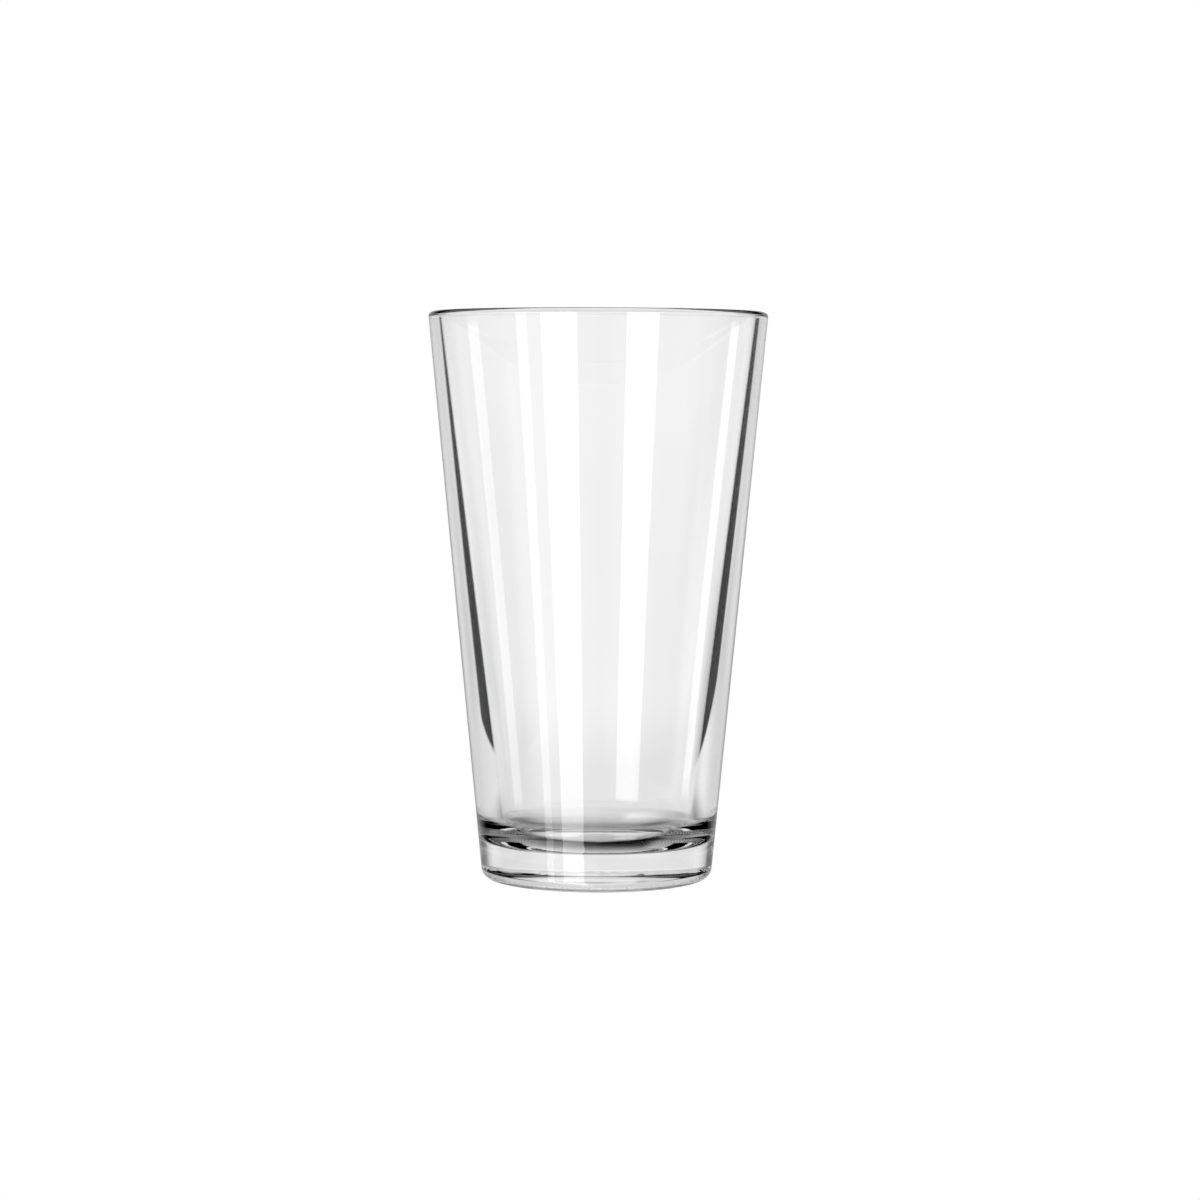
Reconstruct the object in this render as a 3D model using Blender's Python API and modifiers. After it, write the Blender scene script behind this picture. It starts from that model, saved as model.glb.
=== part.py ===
"""A straight-sided mixing glass: one pressed and fire-polished piece of clear soda-lime glass.

Units are metres, +Z is up, and the origin is the centre of the foot on the counter.
The glass is one turned shape: half of its section is drawn as an open line, from the axis at the inner floor,
round the lip, to the axis at the underside, and spun about +Z.
"""

import math

import bmesh
import bpy

# Driving dimensions
HEIGHT = 0.1492  # 5 7/8 in
MOUTH_RADIUS = 0.04445  # 3 1/2 in across the rim
FOOT_RADIUS = 0.03016  # where the outer wall's straight line would meet the counter
RIM_WALL = 0.00315  # wall thickness just under the lip
CREST_INSET = 0.00215  # from the mouth's outer edge in to the lip's crest
OUTER_LIP_DROP = 0.00125  # from the crest down to where the lip meets the outer wall
INNER_LIP_DROP = 0.00175  # from the crest down to where the lip meets the inner wall
FLOOR_RADIUS = 0.02425  # where the inner wall's straight line would meet the floor's level
FLOOR_HEIGHT = 0.0093  # top of the thick base
HEEL_FILLET = 0.0032  # outer edge of the foot
CORNER_FILLET = 0.0098  # inside, between wall and floor
PUNT_RADIUS = 0.0225  # inner edge of the flat bearing ring
PUNT_DEPTH = 0.0025  # how far the underside is pushed up at its centre

# Fineness of the turned surface
TURN_STEPS = 96
LIP_STEPS = 6
HEEL_STEPS = 7
CORNER_STEPS = 8
WALL_STEPS = 10
PUNT_STEPS = 5

GLASS_COLOUR = (0.96, 0.97, 0.97, 1.0)
GLASS_IOR = 1.52


def clear_scene():
    for obj in list(bpy.data.objects):
        bpy.data.objects.remove(obj, do_unlink=True)


def arc(centre, radius, start, end, steps):
    """Points (radius from the axis, height) along an arc, both ends included; angles in radians from +X."""
    angles = [start + (end - start) * i / steps for i in range(steps + 1)]
    return [(centre[0] + radius * math.cos(a), centre[1] + radius * math.sin(a)) for a in angles]


def lip_quarter(centre, across, up, start, end):
    """Points along a quarter of an upright oval, which is one side of the lip."""
    angles = [start + (end - start) * i / LIP_STEPS for i in range(LIP_STEPS + 1)]
    return [(centre[0] + across * math.cos(a), centre[1] + up * math.sin(a)) for a in angles]


def between(a, b, steps):
    """Points strictly between a and b, evenly spaced."""
    return [(a[0] + (b[0] - a[0]) * i / steps, a[1] + (b[1] - a[1]) * i / steps) for i in range(1, steps)]


def section():
    """The glass's half section from the centre of the inner floor, round the lip, to the centre of the underside."""
    # Outer wall: from under the lip to the heel fillet, which meets the counter level
    outer_lean = math.atan2(MOUTH_RADIUS - FOOT_RADIUS, HEIGHT - OUTER_LIP_DROP)
    heel_rise = HEEL_FILLET * (1 - math.sin(outer_lean)) / math.cos(outer_lean)
    heel_centre = (
        FOOT_RADIUS + heel_rise * math.sin(outer_lean) - HEEL_FILLET * math.cos(outer_lean),
        HEEL_FILLET,
    )

    # Inner wall: from under the lip to the corner fillet, which meets the floor
    inner_top = MOUTH_RADIUS - RIM_WALL
    inner_lean = math.atan2(inner_top - FLOOR_RADIUS, HEIGHT - INNER_LIP_DROP - FLOOR_HEIGHT)
    corner_run = CORNER_FILLET * (1 - math.sin(inner_lean)) / math.cos(inner_lean)
    corner_centre = (
        FLOOR_RADIUS + corner_run * math.sin(inner_lean) - CORNER_FILLET * math.cos(inner_lean),
        FLOOR_HEIGHT + CORNER_FILLET,
    )

    # Lip: two quarter ovals that meet at the crest, the outer one broader than the inner one
    crest = MOUTH_RADIUS - CREST_INSET
    inner_centre = (crest, HEIGHT - INNER_LIP_DROP)
    outer_centre = (crest, HEIGHT - OUTER_LIP_DROP)
    lip = lip_quarter(inner_centre, crest - inner_top, INNER_LIP_DROP, math.pi, math.pi / 2)
    lip += lip_quarter(outer_centre, CREST_INSET, OUTER_LIP_DROP, math.pi / 2, 0.0)[1:]

    corner = arc(corner_centre, CORNER_FILLET, -math.pi / 2, -inner_lean, CORNER_STEPS)
    heel = arc(heel_centre, HEEL_FILLET, -outer_lean, -math.pi / 2, HEEL_STEPS)

    # Underside: a shallow spherical cap inside the bearing ring
    cap_radius = (PUNT_RADIUS**2 + PUNT_DEPTH**2) / (2 * PUNT_DEPTH)
    cap_angle = math.asin(PUNT_RADIUS / cap_radius)
    cap_centre = (0.0, PUNT_DEPTH - cap_radius)
    punt = arc(cap_centre, cap_radius, math.pi / 2 - cap_angle, math.pi / 2, PUNT_STEPS)

    points = [(0.0, FLOOR_HEIGHT)]
    points += corner
    points += between(corner[-1], lip[0], WALL_STEPS)
    points += lip
    points += between(lip[-1], heel[0], WALL_STEPS)
    points += heel
    points += punt
    return points


def turned(name, points):
    """A closed body from an open section whose two ends lie on the axis, spun by a Screw modifier."""
    mesh = bpy.data.meshes.new(name)
    form = bmesh.new()
    corners = [form.verts.new((radius, 0.0, height)) for radius, height in points]
    for a, b in zip(corners, corners[1:]):
        form.edges.new((a, b))
    form.to_mesh(mesh)
    form.free()
    body = bpy.data.objects.new(name, mesh)
    spin = body.modifiers.new("Spin", "SCREW")
    spin.axis = "Z"
    spin.angle = math.tau
    spin.steps = TURN_STEPS
    spin.render_steps = TURN_STEPS
    spin.use_merge_vertices = True
    spin.merge_threshold = 0.00001
    spin.use_smooth_shade = True
    return body


def glass_material():
    material = bpy.data.materials.new("clear_glass")
    material.use_nodes = True
    shader = material.node_tree.nodes["Principled BSDF"]
    shader.inputs["Base Color"].default_value = GLASS_COLOUR
    shader.inputs["Metallic"].default_value = 0.0
    shader.inputs["Roughness"].default_value = 0.0
    shader.inputs["IOR"].default_value = GLASS_IOR
    shader.inputs["Transmission Weight"].default_value = 1.0
    return material


def build():
    clear_scene()
    collection = bpy.data.collections.new("Mixing glass")
    bpy.context.scene.collection.children.link(collection)
    glass = turned("glass_body", section())
    glass.data.materials.append(glass_material())
    collection.objects.link(glass)


build()
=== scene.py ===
import math

import bpy
import numpy as np
from mathutils import Matrix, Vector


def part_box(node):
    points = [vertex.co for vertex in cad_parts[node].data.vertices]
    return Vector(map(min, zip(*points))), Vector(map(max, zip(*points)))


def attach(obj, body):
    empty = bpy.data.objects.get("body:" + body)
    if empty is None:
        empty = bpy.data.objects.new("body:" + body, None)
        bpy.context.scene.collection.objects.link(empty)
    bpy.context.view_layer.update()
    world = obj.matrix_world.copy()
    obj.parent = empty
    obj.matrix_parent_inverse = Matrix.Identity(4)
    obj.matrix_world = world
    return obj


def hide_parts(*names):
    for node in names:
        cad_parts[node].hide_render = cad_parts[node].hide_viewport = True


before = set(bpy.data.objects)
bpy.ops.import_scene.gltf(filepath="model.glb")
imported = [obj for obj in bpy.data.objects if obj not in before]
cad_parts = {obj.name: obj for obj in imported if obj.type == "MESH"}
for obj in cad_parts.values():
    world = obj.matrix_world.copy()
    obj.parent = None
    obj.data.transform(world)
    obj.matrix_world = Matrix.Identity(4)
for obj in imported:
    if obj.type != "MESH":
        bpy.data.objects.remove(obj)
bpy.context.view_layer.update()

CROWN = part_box("glass_body")[1]  # its highest corner

# The glass's section, in metres. Height and mouth come from the CAD node, and the rest repeats the part's
# own dimensions.
HEIGHT = CROWN.z
MOUTH_RADIUS = CROWN.x
FOOT_RADIUS = 0.03016  # where the outer wall's straight line would meet the counter
RIM_WALL = 0.00315  # wall thickness just under the lip
CREST_INSET = 0.00215  # from the mouth's edge in to the lip's crest
OUTER_LIP_DROP = 0.00125  # height of the lip's outer quarter oval
INNER_LIP_DROP = 0.00175  # height of the lip's inner quarter oval
FLOOR_RADIUS = 0.02425  # where the inner wall's straight line would meet the floor's level
FLOOR_HEIGHT = 0.0093  # top of the thick base
HEEL_FILLET = 0.0032  # outer edge of the foot
CORNER_FILLET = 0.0098  # inside, between wall and floor
PUNT_RADIUS = 0.0225  # inner edge of the flat bearing ring
PUNT_DEPTH = 0.0025  # how far the underside is pushed up at its centre

# Stippling pressed into the bearing ring, so that the foot doesn't slide or ring like a bell
STIPPLE_RADIUS = 0.0268  # outer edge of the stippled ring; its inner edge is the punt's
STIPPLE_DEPTH = 0.00025
STIPPLE_ROWS = 3
STIPPLE_COUNT = 96  # dents in each row
STIPPLE_NARROWING = 5.5  # 4 would make the dents touch

# Fineness of the turned surface
TURN_STEPS = 480
ARC_STEP = math.radians(5)
OVAL_POINTS = 13  # along each quarter oval of the lip
WALL_STEP = 0.006
FLOOR_STEP = 0.003
RING_STEP = 0.0002  # fine enough for the stippling
ON_COUNTER = 1e-9  # section points lower than this are the bearing ring's
NEVER_ZERO = 1e-30  # keeps the length of a missing normal from dividing by nothing

# The camera, just below the rim and looking at the middle of the glass, fitted to a picture's perspective
CAMERA_DISTANCE = 0.885
CAMERA_HEIGHT = 0.1273
CAMERA_PITCH = math.radians(3.479)
CAMERA_YAW = math.radians(0.044)
CAMERA_ROLL = 0.0033
CAMERA_LENS = 101.04  # millimetres
CAMERA_SENSOR = 36.0  # millimetres
CAMERA_REACH = 50.0

# The planes under the glass. The floor is what the camera sees, and the table what shows through the glass.
WHITE_FLOOR_RADIUS = 6.0
WHITE_FLOOR_DROP = 0.00002
TABLE_RADIUS = 0.45
TABLE_DROP = 0.00001
PLANE_SIDES = 64

# The studio. The light seen out of the glass and the light mirrored in its outside come from separate sets
# of cards, which no real studio can do. A search and a least-squares fit to a picture found most of the
# cards' numbers, which were then rounded. They aren't a measured studio, and only the names of the cards say
# what each may stand for.
#
# Azimuths run from straight behind the glass, positive to its right. Angles are in degrees, radii in
# millimetres, and brightness is beside the white background's 1. A card's two side edges can lean, in degrees
# of azimuth for each degree of elevation, counted from SEEN_LEAN or MIRROR_LEAN up. A bottom, top or radius
# of None leaves that side open, and azimuths a full turn apart go all round.
MILLIMETRES = 1000
FULL_TURN = 360
SEEN_LEAN = -6
MIRROR_LEAN = -11

# Light that reaches the camera out of the glass
SEEN = [
    # azimuths, their leans, elevations, softness of the sides and of top and bottom, brightness
    (-58, 49, 0, 0, None, 23.5, 25, 15, 0.68),  # white backdrop
    (-20, 22, -0.3, -0.8, -10, -0.5, 25, 4.5, 0.27),  # its brighter middle, low down
    (-14, 22, 0, 0, 19, 42.5, 5, 15, 0.40),  # above the backdrop
    (-62, 60, 0, 0, -0.5, 3.5, 3, 5.5, 0.27),  # where the backdrop meets the table
    (-55, -25, 0.5, 1.55, None, -4.5, 21.5, 4.5, 0.22),  # table's far end, left
    (24, 76, -2.25, -2.15, None, -6, 5.5, 5, 0.14),  # table's far end, right
    (-96, -52, 0, 0, -12, 1, 25, 4, 0.37),  # left wall
    (46, 68, 0, 0, -12, 2.5, 15.5, 3.5, 0.51),  # beside the right flag
    (-101, -65, 0, 0, -21, -1, 25, 6, 0.95),  # floor, left
    (65, 94, 0, 0, -21, -2.5, 10.5, 11, 0.90),  # floor, right
    (-144, -90, 0, 0, -12, 13.5, 16, 15, 0.60),  # left front
    (164, 223, 0, 0, -12.5, 13, 8, 7, 0.46),  # round the camera
    (92, 122, 0, 0, -12.5, 10.5, 18.5, 9.5, 0.28),  # right front
    (84, 213, 0, 0, -17.5, -8.5, 25, 9, 0.88),  # floor in front
    (-66, -42, 0.15, -1.35, -26, -7, 5.5, 3, 0.22),  # under the left flag
    (44, 57, -2.15, -2.05, -17.5, -4.5, 9.5, 5, 0.61),  # under the right flag
    (-172, -130, 0, 0, -2, 28.5, 21, 8, 0.54),  # spill of the key softbox
    (-125, -70, 0, 0, 8, 24, 15, 6, 0.33),  # left wall, high
    (60, 300, 0, 0, None, -20, 16, 6, 0.87),  # floor all round the front
    (105, 255, 0, 0, -10, -2, 16, 5, 0.40),  # front wall, low
    (100, 165, 0, 0, -3, 12, 20, 8, 0.65),  # front wall, right
    (50, 110, 0, 0, 5, 20, 16, 8, 0.54),  # right wall
    (-180, 180, 0, 0, 20, None, 0, 14, 0.17),  # ceiling
]
# Black flags in front of it. Unlike real ones, they show only in light that has crossed the glass's surface
# few times, as it does in the wall's edges, and so they don't darken the view straight through.
FLAG_CROSSINGS = (3.5, 2.5)  # from no flag to a full one, beside the four crossings straight through
FLAG_SOFT_ENDS = 2
FLAGS = [
    # azimuths, their leans, elevations, softness of the sides
    (-40, -35.5, 1.9, 0.05, -18, -4.5, 4.5),  # left flag
    (32.5, 40.5, -0.75, -2, -18, -3.5, 3),  # right flag
]
# Light mirrored in the glass's outside. What the tapered wall mirrors at one height on it lies lower to the
# sides and lowest in front, so these cards' heights are elevations with MIRROR_DROP times the sine of half
# the azimuth added.
MIRROR_DROP = 11.0
MIRROR = [
    # azimuths, their leans, heights, softness of the sides and of top and bottom, brightness
    (-166, -142, 0.2, 0.65, None, 10.7, 1, 3, 4.70),  # key softbox
    (-132, -124.5, 0.65, 0.75, None, 9.9, 1, 3, 2.70),  # inner left strip light
    (-98, -89, 1.6, 1.65, -6.9, 1.35, 1.2, 0.3, 2.2),  # outer left strip light
    (79, 87, -1.65, -1.7, -6.7, 1.35, 1.2, 0.3, 2.2),  # right strip light
    (139, 161, -0.3, -0.2, -6.95, 10, 1, 0.1, 3.5),  # right softbox
    (-182, -113, 0, 0, None, 13.5, 11, 5.5, 0.60),  # left wall
    (-36, 36, 0, 0, None, 16, 25, 8, 0.50),  # backdrop
    (-143, -131, 0.65, 0.65, None, 10.3, 3, 3, 1.05),  # spill beside the key softbox
    (-172, -90, 0, 0, 15, 30, 16, 8, 0.45),  # left front, high
    (92, 150, 0, 0, 15, 28, 16, 8, 0.35),  # right front, high
    (-180, 180, 0, 0, 30, None, 0, 14, 0.70),  # ceiling
]
# The table near the foot. Its glow is painted with the glass's contact shade and with the light thrown
# through the glass.
TABLE = [
    # azimuths, radii, softness of their edges (in degrees; as a ratio), brightness
    (-180, 180, None, 17, 0, 0.8, 0.50),  # under the middle, painted light that comes through the glass
    (-121, 96, 5.5, 30, 44, 0.4, 0.31),  # painted shade inside the foot's edge
    (-158, -103, 13.5, 26, 36, 0.1, 0.15),  # painted shade inside the foot's edge, left front
    (65, 132, 17.5, 26, 18, 0.2, 0.35),  # painted shade inside the foot's edge, right
    (-32, 29, 31.5, 47, 23, 0.2, 0.32),  # painted contact shade, behind
    (-163, -46, 32.5, 64, 39, 0.4, 0.36),  # painted contact shade, left
    (38, 123, 29, 57, 20, 0.8, 0.34),  # painted contact shade, right
    (-33, 30, 46, 66, 37, 0.35, 0.69),  # lighter table at the painted contact shade's edge, behind
    (-52, -32, 51, 65, 19, 0.1, 0.35),  # lighter table at the painted contact shade's edge, left
    (11, 78, 50, 56, 5, 0.45, 0.55),  # lighter table at the painted contact shade's edge, right
    (-68, 64, 66, None, 40, 0.4, 0.82),  # open table, behind
    (-128, -60, 45, 100, 20, 0.3, 0.20),  # open table, left, near
    (-128, -63, 100, None, 28, 0.25, 0.53),  # open table, left
    (50, 110, 100, None, 20, 0.3, 0.26),  # open table, right
    (72, 136, 98, 175, 60, 0.8, 0.58),  # painted light thrown through the glass, right, far
    (75, 110, 53, 117, 18, 0.8, 0.72),  # painted light thrown through the glass, right, near
    (105, 255, 45, None, 24, 0.4, 0.66),  # open table, in front
    (149, 191, 70, 150, 24, 0.6, 0.38),  # painted light thrown through the glass, front
]
# The table gives way to the studio at its sides and farther out
# Each side has its reach beside the glass, and how much wider it gets per millimetre towards the back.
TABLE_LEFT = (130, 0.14)
TABLE_RIGHT = (110, 0.41)
TABLE_EDGE = 8  # softness of its side edges
TABLE_REACH = 280
TABLE_FADE = 0.8  # softness of its reach, as a ratio

# The glass: soda-lime, hardly tinted
GLASS_IOR = 1.52
TINT_COLOUR = (0.90, 0.94, 0.93, 1.0)
TINT_DENSITY = 1.2
# Unevenness of its surface, with tilts in radians: long waves all over, drawn out along the wall
WAVE_SCALE = 60.0
WAVE_STRETCH = 0.15
WAVE_TILT = 0.0012
# Ripples that run round the base
RIPPLE_SCALE = 600.0
RIPPLE_TURN = 0.004  # metres of noise for each radian round
RIPPLE_TILT = 0.02
RIPPLE_BOTTOM = 0.0085
RIPPLE_TOP = 0.016
RIPPLE_FADE = 0.002
# A rough band low on the heel
HEEL_ROUGH_SCALE = 1400.0
HEEL_ROUGH_TILT = 0.35
HEEL_ROUGH_BOTTOM = 0.0013
HEEL_ROUGH_TOP = 0.0022
HEEL_ROUGH_FADE = 0.0006
HEEL_ROUGH_INNER_FADE = 0.001  # towards the punt


def arc(centre, radius, start, end, hollow=False):
    """Points (r, z, normal r, normal z) along an arc of the section.

    A hollow arc's air side is its centre's side.
    """
    steps = max(2, round(abs(end - start) / ARC_STEP))
    angles = np.linspace(start, end, steps + 1)
    side = -1.0 if hollow else 1.0
    along = np.stack([np.cos(angles), np.sin(angles)], axis=1)
    return np.hstack([np.array(centre) + radius * along, side * along])


def quarter_oval(centre, across, up, start, end):
    """Points of a quarter ellipse of the section, bulging into the air."""
    angles = np.linspace(start, end, OVAL_POINTS)
    points = np.array(centre) + np.stack([across * np.cos(angles), up * np.sin(angles)], axis=1)
    normals = np.stack([np.cos(angles) / across, np.sin(angles) / up], axis=1)
    return np.hstack([points, normals / np.linalg.norm(normals, axis=1, keepdims=True)])


def line(a, b, step):
    """Points strictly between two section points, with the first one's normal."""
    gap = b[:2] - a[:2]
    count = max(2, round(float(np.hypot(*gap)) / step))
    shares = np.arange(1, count)[:, None] / count
    return np.hstack([a[:2] + gap * shares, np.repeat([a[2:]], count - 1, axis=0)])


def lip(outer_normal, inner_normal):
    """The lip, as two quarter ovals meeting at its crest, from the inner wall to the outer wall."""
    crest = MOUTH_RADIUS - CREST_INSET
    inner_reach = RIM_WALL - CREST_INSET
    inner_centre = (crest, HEIGHT - INNER_LIP_DROP)
    outer_centre = (crest, HEIGHT - OUTER_LIP_DROP)
    inner = quarter_oval(inner_centre, inner_reach, INNER_LIP_DROP, math.pi, math.pi / 2)
    outer = quarter_oval(outer_centre, CREST_INSET, OUTER_LIP_DROP, math.pi / 2, 0.0)
    points = np.vstack([inner, outer[1:]])
    points[0, 2:] = inner_normal
    points[-1, 2:] = outer_normal
    return points


def section():
    """The half section from the centre of the inner floor, over the lip, to the centre of the underside."""
    outer_lean = math.atan2(MOUTH_RADIUS - FOOT_RADIUS, HEIGHT - OUTER_LIP_DROP)
    inner_rise = HEIGHT - INNER_LIP_DROP - FLOOR_HEIGHT
    inner_lean = math.atan2(MOUTH_RADIUS - RIM_WALL - FLOOR_RADIUS, inner_rise)

    corner_run = CORNER_FILLET * (1 - math.sin(inner_lean)) / math.cos(inner_lean)
    corner_centre = (
        FLOOR_RADIUS + corner_run * math.sin(inner_lean) - CORNER_FILLET * math.cos(inner_lean),
        FLOOR_HEIGHT + CORNER_FILLET,
    )
    heel_rise = HEEL_FILLET * (1 - math.sin(outer_lean)) / math.cos(outer_lean)
    heel_centre = (
        FOOT_RADIUS + heel_rise * math.sin(outer_lean) - HEEL_FILLET * math.cos(outer_lean),
        HEEL_FILLET,
    )
    cap_radius = (PUNT_RADIUS**2 + PUNT_DEPTH**2) / (2 * PUNT_DEPTH)
    cap_angle = math.asin(PUNT_RADIUS / cap_radius)

    floor_centre = np.array([0.0, FLOOR_HEIGHT, 0.0, 1.0])
    corner = arc(corner_centre, CORNER_FILLET, -math.pi / 2, -inner_lean, hollow=True)
    rim = lip((math.cos(outer_lean), -math.sin(outer_lean)), corner[-1, 2:])
    heel = arc(heel_centre, HEEL_FILLET, -outer_lean, -math.pi / 2)
    cap_centre = (0.0, PUNT_DEPTH - cap_radius)
    punt = arc(cap_centre, cap_radius, math.pi / 2 - cap_angle, math.pi / 2, hollow=True)
    floor = line(floor_centre, corner[0], FLOOR_STEP)
    wall_in = line(corner[-1], rim[0], WALL_STEP)
    wall_out = line(rim[-1], heel[0], WALL_STEP)
    ring = line(heel[-1], punt[0], RING_STEP)
    return np.vstack([floor_centre, floor, corner, wall_in, rim, wall_out, heel, ring, punt])


def stipple(radius, angle):
    """Rise of the bearing ring's surface: rows of small round dents, staggered from row to row."""
    across = (radius - PUNT_RADIUS) / (STIPPLE_RADIUS - PUNT_RADIUS)
    row = np.clip(np.floor(across * STIPPLE_ROWS), 0, STIPPLE_ROWS - 1)
    u = across * STIPPLE_ROWS - row - 0.5
    v = (angle / math.tau * STIPPLE_COUNT + row * 0.5) % 1.0 - 0.5
    inside = (across > 0) & (across < 1)
    dent = np.clip(1 - (u * u + v * v) * STIPPLE_NARROWING, 0, 1)
    return np.where(inside, STIPPLE_DEPTH * dent * dent * (3 - 2 * dent), 0.0)


def turned_points(rows):
    """The rows of section points turned round the axis, stippled at the ring, with their normals."""
    turn = np.repeat([np.arange(TURN_STEPS) / TURN_STEPS * math.tau], len(rows), axis=0)
    spread = [np.repeat(column[:, None], TURN_STEPS, axis=1) for column in rows.T]
    radius, height, normal_r, normal_z = spread
    on_ring = (rows[:, 1] < ON_COUNTER)[:, None]
    height = height + np.where(on_ring, stipple(radius, turn), 0.0)
    grid = np.stack([radius * np.cos(turn), radius * np.sin(turn), height], axis=-1)
    normals = np.stack([normal_r * np.cos(turn), normal_r * np.sin(turn), normal_z], axis=-1)
    along = np.roll(grid, -1, axis=0) - np.roll(grid, 1, axis=0)
    around = np.roll(grid, -1, axis=1) - np.roll(grid, 1, axis=1)
    pressed = np.cross(around, along)
    pressed /= np.linalg.norm(pressed, axis=-1, keepdims=True) + NEVER_ZERO
    pressed *= np.sign((pressed * normals).sum(-1, keepdims=True))
    return grid, np.where(on_ring[..., None], pressed, normals)


def turned(name, points):
    """A closed mesh from a section whose ends lie on the axis, with exact normals."""
    grid, normals = turned_points(points[1:-1])
    rows = len(grid)
    count = rows * TURN_STEPS
    verts = np.vstack([grid.reshape(-1, 3), [[0, 0, points[0, 1]]], [[0, 0, points[-1, 1]]]])
    normals = np.vstack([normals.reshape(-1, 3), [[0, 0, 1.0]], [[0, 0, -1.0]]])
    last = count - TURN_STEPS
    faces = []
    for j in range(TURN_STEPS):
        k = (j + 1) % TURN_STEPS
        faces.append((count, j, k))
        faces.append((count + 1, last + k, last + j))
        for a in range(0, last, TURN_STEPS):
            b = a + TURN_STEPS
            faces.append((a + j, b + j, b + k, a + k))
    mesh = bpy.data.meshes.new(name)
    mesh.from_pydata(verts.tolist(), [], faces)
    mesh.shade_smooth()
    mesh.normals_split_custom_set_from_vertices(normals.tolist())
    body = bpy.data.objects.new(name, mesh)
    bpy.context.scene.collection.objects.link(body)
    return body


class Tree:
    """Shorthands for building a node tree."""

    def __init__(self, tree):
        self.nodes, self.links = tree.nodes, tree.links

    def put(self, socket, value):
        if isinstance(value, (int, float, tuple)):
            socket.default_value = value
        else:
            self.links.new(value, socket)

    def math(self, operation, *values):
        node = self.nodes.new("ShaderNodeMath")
        node.operation = operation
        for socket, value in zip(node.inputs, values):
            self.put(socket, value)
        return node.outputs[0]

    def vector(self, operation, *values):
        node = self.nodes.new("ShaderNodeVectorMath")
        node.operation = operation
        for socket, value in zip(node.inputs, values):
            self.put(socket, value)
        return node.outputs[0]

    def split(self, vector):
        """The x, y and z of a vector."""
        node = self.nodes.new("ShaderNodeSeparateXYZ")
        self.links.new(vector, node.inputs[0])
        return node.outputs

    def azimuth(self, x, y):
        """Degrees round from straight behind the glass."""
        return self.math("MULTIPLY", self.math("ARCTAN2", x, y), math.degrees(1))

    def radius(self, x, y):
        squares = [self.math("MULTIPLY", part, part) for part in (x, y)]
        return self.math("SQRT", self.math("ADD", *squares))

    def tilt(self, place, scale, amount):
        """A lean of the surface, in radians either way, that varies from place to place."""
        noise = self.nodes.new("ShaderNodeTexNoise")
        noise.inputs["Scale"].default_value = scale
        noise.inputs["Detail"].default_value = 1.0
        self.links.new(place, noise.inputs["Vector"])
        lean = self.vector("SUBTRACT", noise.outputs["Color"], (0.5, 0.5, 0.5))
        either_way = self.vector("SCALE", lean)
        self.put(either_way.node.inputs["Scale"], self.math("MULTIPLY", amount, 2.0))
        return either_way

    def add(self, values):
        total = values[0]
        for value in values[1:]:
            total = self.math("ADD", total, value)
        return total

    def step(self, value, start, end):
        """A smooth step from 0 at the start to 1 at the end."""
        node = self.nodes.new("ShaderNodeMapRange")
        node.interpolation_type = "SMOOTHSTEP"
        self.put(node.inputs["Value"], value)
        node.inputs["From Min"].default_value = start
        node.inputs["From Max"].default_value = end
        return node.outputs[0]

    def leaning(self, value, elevation, lean):
        """An edge at a value, moved by its lean at this elevation."""
        return value if lean == 0 else self.math("MULTIPLY_ADD", elevation, lean, value)

    def sector(self, azimuth, elevation, low, high, low_lean, high_lean, soft):
        """1 between two azimuths, either way round."""
        middle = self.leaning(2 * FULL_TURN - (low + high) / 2, elevation, -(low_lean + high_lean) / 2)
        half = self.leaning((high - low) / 2, elevation, (high_lean - low_lean) / 2)
        away = self.math("PINGPONG", self.math("ADD", azimuth, middle), FULL_TURN / 2)
        return self.step(self.math("SUBTRACT", half, away), -soft / 2, soft / 2)

    def band(self, value, low, high, soft):
        """1 between two values; an edge of None leaves that side open."""
        edges = [] if low is None else [self.step(value, low - soft / 2, low + soft / 2)]
        edges += [] if high is None else [self.step(value, high + soft / 2, high - soft / 2)]
        return edges[0] if len(edges) == 1 else self.math("MULTIPLY", *edges)


def cards(tree, azimuth, elevation, height, lean_start, rows):
    """The summed light of a set of cards round the glass, whose tops and bottoms go by height."""
    lights = []
    above = tree.math("SUBTRACT", elevation, lean_start)
    for low, high, low_lean, high_lean, bottom, top, soft, soft_up, level in rows:
        light = level
        if high - low < FULL_TURN:
            sides = tree.sector(azimuth, above, low, high, low_lean, high_lean, soft)
            light = tree.math("MULTIPLY", light, sides)
        if bottom is not None or top is not None:
            light = tree.math("MULTIPLY", light, tree.band(height, bottom, top, soft_up))
        lights.append(light)
    return tree.add(lights)


def flagged(tree, azimuth, elevation, crossings, light):
    """The light seen past the black flags."""
    in_edges = tree.step(crossings, *FLAG_CROSSINGS)
    above = tree.math("SUBTRACT", elevation, SEEN_LEAN)
    for low, high, low_lean, high_lean, bottom, top, soft in FLAGS:
        flag = tree.sector(azimuth, above, low, high, low_lean, high_lean, soft)
        flag = tree.math("MULTIPLY", flag, tree.band(elevation, bottom, top, FLAG_SOFT_ENDS))
        flag = tree.math("MULTIPLY", flag, in_edges)
        light = tree.math("MULTIPLY", light, tree.math("SUBTRACT", 1.0, flag))
    return light


def background(tree, level):
    node = tree.nodes.new("ShaderNodeBackground")
    node.inputs["Color"].default_value = (1.0, 1.0, 1.0, 1.0)
    tree.put(node.inputs["Strength"], level)
    return node.outputs[0]


def mixed(tree, fac, first, second):
    node = tree.nodes.new("ShaderNodeMixShader")
    tree.put(node.inputs["Fac"], fac)
    tree.links.new(first, node.inputs[1])
    tree.links.new(second, node.inputs[2])
    return node.outputs[0]


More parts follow.
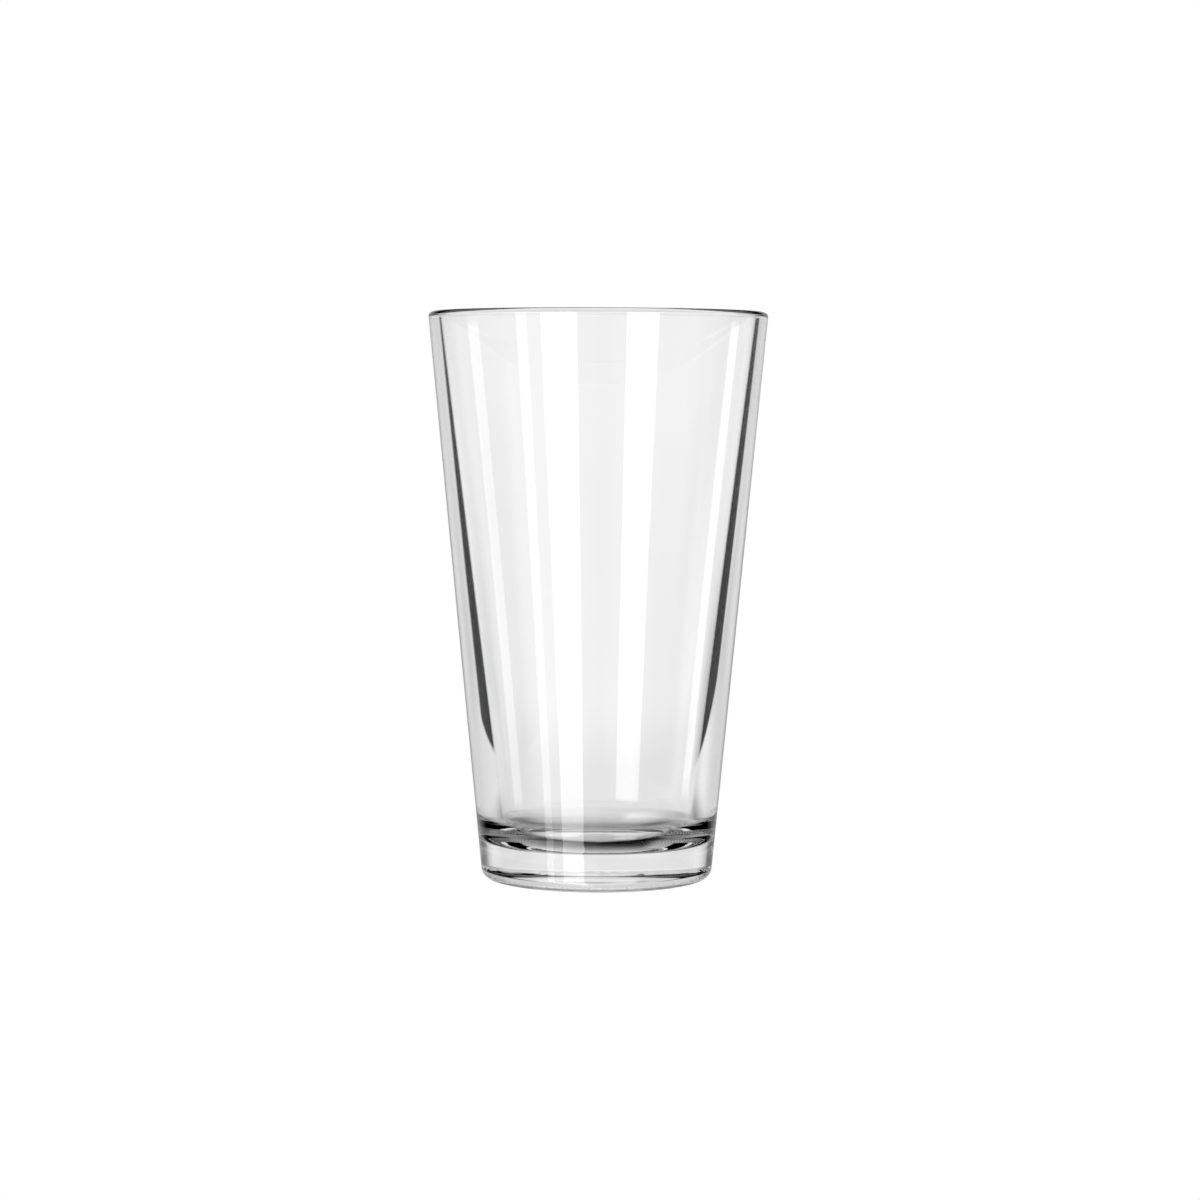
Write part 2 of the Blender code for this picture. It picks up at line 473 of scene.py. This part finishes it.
def studio_world():
    """White to the camera; the seen cards through the glass; the mirror cards in its outside."""
    world = bpy.data.worlds.new("studio")
    world.use_nodes = True
    tree = Tree(world.node_tree)
    tree.nodes.clear()
    x, y, z = tree.split(tree.nodes.new("ShaderNodeTexCoord").outputs["Generated"])
    azimuth = tree.azimuth(x, y)
    elevation = tree.math("MULTIPLY", tree.math("ARCSINE", z), math.degrees(1))
    path = tree.nodes.new("ShaderNodeLightPath")
    seen = cards(tree, azimuth, elevation, elevation, SEEN_LEAN, SEEN)
    seen = flagged(tree, azimuth, elevation, path.outputs["Transmission Depth"], seen)
    drop = tree.math("ABSOLUTE", tree.math("SINE", tree.math("MULTIPLY", azimuth, math.radians(0.5))))
    height = tree.math("MULTIPLY_ADD", drop, MIRROR_DROP, elevation)
    mirror = cards(tree, azimuth, elevation, height, MIRROR_LEAN, MIRROR)
    out_of_glass = path.outputs["Is Transmission Ray"]
    lit = mixed(tree, out_of_glass, background(tree, mirror), background(tree, seen))
    surface = mixed(tree, path.outputs["Is Camera Ray"], lit, background(tree, 1.0))
    out = tree.nodes.new("ShaderNodeOutputWorld")
    tree.links.new(surface, out.inputs["Surface"])
    bpy.context.scene.world = world


def disc(name, radius, height):
    """A round plane of the studio, which throws no shadow and isn't mirrored in the glass's outside."""
    turn = [k / PLANE_SIDES * math.tau for k in range(PLANE_SIDES)]
    edge = [(radius * math.cos(a), radius * math.sin(a), height) for a in turn]
    mesh = bpy.data.meshes.new(name)
    mesh.from_pydata(edge, [], [tuple(range(PLANE_SIDES))])
    made = bpy.data.objects.new(name, mesh)
    bpy.context.scene.collection.objects.link(made)
    made.visible_glossy = made.visible_diffuse = made.visible_shadow = False
    return made


def glow(name):
    """An emission material's tree, shader and output, ready for its level."""
    material = bpy.data.materials.new(name)
    material.use_nodes = True
    tree = Tree(material.node_tree)
    tree.nodes.clear()
    shader = tree.nodes.new("ShaderNodeEmission")
    out = tree.nodes.new("ShaderNodeOutputMaterial")
    return material, tree, shader, out


def white_floor():
    """The white floor that the camera sees."""
    floor = disc("floor", WHITE_FLOOR_RADIUS, -WHITE_FLOOR_DROP)
    floor.visible_transmission = False
    material, tree, shader, out = glow("white_floor")
    tree.links.new(shader.outputs[0], out.inputs["Surface"])
    floor.data.materials.append(material)


def table():
    """The table as seen through the glass, glowing with the glass's painted contact shade and painted light
    thrown through the glass, fading into the studio.
    """
    top = disc("table", TABLE_RADIUS, -TABLE_DROP)
    top.visible_camera = False
    material, tree, shader, out = glow("table_painted_shade_and_light")
    x, y, _ = tree.split(tree.nodes.new("ShaderNodeNewGeometry").outputs["Position"])
    azimuth = tree.azimuth(x, y)
    distance = tree.math("LOGARITHM", tree.radius(x, y), math.e)
    lights = []
    for low, high, near, far, soft, fade, level in TABLE:
        rings = [None if edge is None else math.log(edge / MILLIMETRES) for edge in (near, far)]
        light = tree.band(distance, *rings, fade)
        if high - low < FULL_TURN:
            light = tree.math("MULTIPLY", light, tree.sector(azimuth, azimuth, low, high, 0, 0, soft))
        lights.append(tree.math("MULTIPLY", light, level))
    # The summed rows paint the glass's contact shade and the light it throws into the table's glow
    tree.put(shader.inputs["Strength"], tree.add(lights))
    shown = tree.band(distance, None, math.log(TABLE_REACH / MILLIMETRES), TABLE_FADE)
    for side, (reach, lean) in ((-1, TABLE_LEFT), (1, TABLE_RIGHT)):
        out_x = tree.math("MULTIPLY", tree.math("MULTIPLY_ADD", y, -side * lean, x), side)
        within = tree.band(out_x, None, reach / MILLIMETRES, TABLE_EDGE / MILLIMETRES)
        shown = tree.math("MULTIPLY", shown, within)
    clear = tree.nodes.new("ShaderNodeBsdfTransparent")
    tree.links.new(mixed(tree, shown, clear.outputs[0], shader.outputs[0]), out.inputs["Surface"])
    top.data.materials.append(material)


def glass_material():
    """Clear pressed glass, faintly wavy, rippled round its base and rough at its heel."""
    material = bpy.data.materials.new("fire_polished_glass")
    material.use_nodes = True
    tree = Tree(material.node_tree)
    shader = tree.nodes["Principled BSDF"]
    shader.inputs["Base Color"].default_value = (1.0, 1.0, 1.0, 1.0)
    shader.inputs["Roughness"].default_value = 0.0
    shader.inputs["IOR"].default_value = GLASS_IOR
    shader.inputs["Transmission Weight"].default_value = 1.0

    place = tree.nodes.new("ShaderNodeTexCoord").outputs["Object"]
    x, y, z = tree.split(place)
    radius = tree.radius(x, y)
    rings = tree.nodes.new("ShaderNodeCombineXYZ")
    tree.links.new(radius, rings.inputs[0])
    tree.put(rings.inputs[1], tree.math("MULTIPLY", tree.math("ARCTAN2", x, y), RIPPLE_TURN))
    tree.links.new(z, rings.inputs[2])

    tall = tree.vector("MULTIPLY", place, (1.0, 1.0, WAVE_STRETCH))
    waves = tree.tilt(tall, WAVE_SCALE, WAVE_TILT)
    in_base = tree.band(z, RIPPLE_BOTTOM, RIPPLE_TOP, RIPPLE_FADE)
    ripples = tree.tilt(rings.outputs[0], RIPPLE_SCALE, tree.math("MULTIPLY", in_base, RIPPLE_TILT))
    at_heel = tree.band(z, HEEL_ROUGH_BOTTOM, HEEL_ROUGH_TOP, HEEL_ROUGH_FADE)
    at_heel = tree.math("MULTIPLY", at_heel, HEEL_ROUGH_TILT)
    at_heel = tree.math("MULTIPLY", at_heel, tree.band(radius, PUNT_RADIUS, None, HEEL_ROUGH_INNER_FADE))
    rough = tree.tilt(place, HEEL_ROUGH_SCALE, at_heel)
    smooth = tree.nodes.new("ShaderNodeNewGeometry").outputs["Normal"]
    uneven = tree.vector("ADD", tree.vector("ADD", waves, ripples), tree.vector("ADD", rough, smooth))
    tree.links.new(tree.vector("NORMALIZE", uneven), shader.inputs["Normal"])

    tint = tree.nodes.new("ShaderNodeVolumeAbsorption")
    tint.inputs["Color"].default_value = TINT_COLOUR
    tint.inputs["Density"].default_value = TINT_DENSITY
    tree.links.new(tint.outputs[0], tree.nodes["Material Output"].inputs["Volume"])
    return material


def camera():
    lens = bpy.data.cameras.new("camera")
    lens.lens = CAMERA_LENS
    lens.sensor_width = CAMERA_SENSOR
    lens.clip_end = CAMERA_REACH
    made = bpy.data.objects.new("camera", lens)
    aim = Matrix.Rotation(-CAMERA_YAW, 4, "Z") @ Matrix.Rotation(math.pi / 2 - CAMERA_PITCH, 4, "X")
    aim = aim @ Matrix.Rotation(CAMERA_ROLL, 4, "Z")
    made.matrix_world = Matrix.Translation((0.0, -CAMERA_DISTANCE, CAMERA_HEIGHT)) @ aim
    bpy.context.scene.collection.objects.link(made)
    bpy.context.scene.camera = made


glass = turned("mixing_glass", section())
glass.data.materials.append(glass_material())
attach(glass, "root")
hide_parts("glass_body")

studio_world()
white_floor()
table()
camera()
bpy.context.scene.view_settings.view_transform = "Standard"
